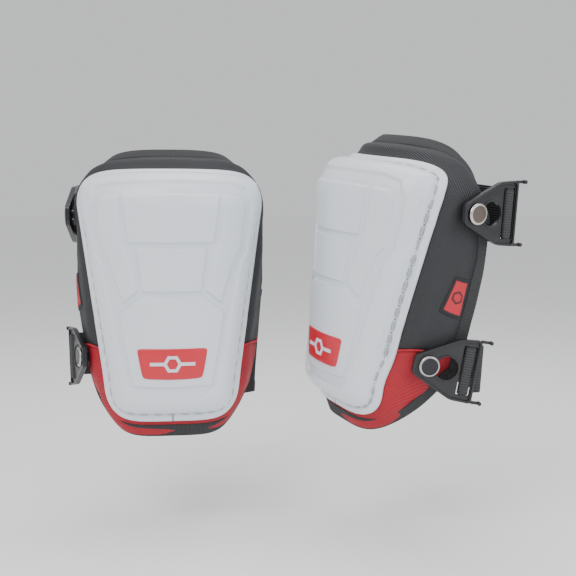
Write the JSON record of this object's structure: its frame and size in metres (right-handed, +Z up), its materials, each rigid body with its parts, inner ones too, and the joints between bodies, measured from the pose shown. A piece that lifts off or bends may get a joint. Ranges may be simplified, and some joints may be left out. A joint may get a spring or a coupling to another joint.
{
  "type": "knee pads",
  "caption": "Pair of roofing knee pads: stitched white kneeling caps on padded black and red fabric bodies, with keyhole buckles that swivel on studs.",
  "frame": {"origin": "middle of the right pad's leg hollow, level with the middle of its height", "axes": "+X from the right pad to the left pad, -Y the way the pair is shown from, +Z up the leg"},
  "size_m": [0.4494, 0.2188, 0.3024],
  "materials": {
    "cap_white": "satin moulded",
    "badge_red": "satin moulded",
    "mark_white": "satin",
    "gel": "soft clear gel",
    "black_fabric": "coated ballistic weave",
    "red_fabric": "coated ballistic weave",
    "foam": "closed-cell foam",
    "lining_fabric": "brushed knit",
    "binding_tape": "twill tape",
    "label": "woven label",
    "wrap_fabric": "elastic neoprene",
    "stud_metal": "dark nickel",
    "washer_metal": "plain",
    "collar_plastic": "moulded",
    "buckle_plastic": "semi-gloss moulded",
    "webbing": "ribbed elastic webbing",
    "hook_tape": "hook tape"
  },
  "bodies": {
    "right_pad": {"right_cap": "cap_white", "right_badge": "badge_red", "right_badge_mark": "mark_white", "right_gel_insert": "gel", "right_fabric_shell": "black_fabric", "right_red_panel": "red_fabric", "right_foam_core": "foam", "right_lining": "lining_fabric", "right_edge_binding": "binding_tape", "right_side_label": "label", "right_calf_wrap": "wrap_fabric", "right_upper_stud": "stud_metal", "right_upper_stud_washer": "washer_metal", "right_upper_strap": "webbing", "right_upper_hook_tab": "hook_tape", "right_lower_stud": "stud_metal", "right_lower_stud_washer": "washer_metal", "right_lower_strap": "webbing", "right_lower_hook_tab": "hook_tape"},
    "right_upper_swivel": {"right_upper_collar": "collar_plastic"},
    "right_upper_buckle": {"right_upper_buckle_plate": "buckle_plastic", "right_upper_strap_loop": "webbing"},
    "right_lower_swivel": {"right_lower_collar": "collar_plastic"},
    "right_lower_buckle": {"right_lower_buckle_plate": "buckle_plastic", "right_lower_strap_loop": "webbing"},
    "left_pad": {"left_cap": "cap_white", "left_badge": "badge_red", "left_badge_mark": "mark_white", "left_gel_insert": "gel", "left_fabric_shell": "black_fabric", "left_red_panel": "red_fabric", "left_foam_core": "foam", "left_lining": "lining_fabric", "left_edge_binding": "binding_tape", "left_side_label": "label", "left_calf_wrap": "wrap_fabric", "left_upper_stud": "stud_metal", "left_upper_stud_washer": "washer_metal", "left_upper_strap": "webbing", "left_upper_hook_tab": "hook_tape", "left_lower_stud": "stud_metal", "left_lower_stud_washer": "washer_metal", "left_lower_strap": "webbing", "left_lower_hook_tab": "hook_tape"},
    "left_upper_swivel": {"left_upper_collar": "collar_plastic"},
    "left_upper_buckle": {"left_upper_buckle_plate": "buckle_plastic", "left_upper_strap_loop": "webbing"},
    "left_lower_swivel": {"left_lower_collar": "collar_plastic"},
    "left_lower_buckle": {"left_lower_buckle_plate": "buckle_plastic", "left_lower_strap_loop": "webbing"}
  },
  "joints": [
    {"name": "pair_spread", "type": "slide", "parent": "right_pad", "child": "left_pad", "axis": [1, 0, 0], "range_m": [0, 0.15]},
    {"name": "right_upper_turn", "type": "hinge", "parent": "right_pad", "child": "right_upper_swivel", "pos_m": [-0.09736, 0.01971, 0.074], "axis": [-0.9993, -0.0372, 0], "range_deg": [-15, 15]},
    {"name": "right_upper_release", "type": "slide", "parent": "right_upper_swivel", "child": "right_upper_buckle", "axis": [0.0372, -0.9993, 0], "range_m": [0, 0.017]},
    {"name": "right_lower_turn", "type": "hinge", "parent": "right_pad", "child": "right_lower_swivel", "pos_m": [-0.0825, -0.00661, -0.068], "axis": [-0.9095, -0.4156, 0], "range_deg": [-15, 15]},
    {"name": "right_lower_release", "type": "slide", "parent": "right_lower_swivel", "child": "right_lower_buckle", "axis": [0.4125, -0.9028, 0.1219], "range_m": [0, 0.017]},
    {"name": "left_upper_turn", "type": "hinge", "parent": "left_pad", "child": "left_upper_swivel", "pos_m": [0.28413, -0.09692, 0.07672], "axis": [0.5079, -0.8552, -0.103], "range_deg": [-15, 15]},
    {"name": "left_upper_release", "type": "slide", "parent": "left_upper_swivel", "child": "left_upper_buckle", "axis": [-0.8599, -0.5104, -0.0024], "range_m": [0, 0.017]},
    {"name": "left_lower_turn", "type": "hinge", "parent": "left_pad", "child": "left_lower_swivel", "pos_m": [0.24682, -0.08602, -0.06316], "axis": [0.1414, -0.9853, -0.0961], "range_deg": [-15, 15]},
    {"name": "left_lower_release", "type": "slide", "parent": "left_lower_swivel", "child": "left_lower_buckle", "axis": [-0.9751, -0.1554, 0.158], "range_m": [0, 0.017]}
  ]
}
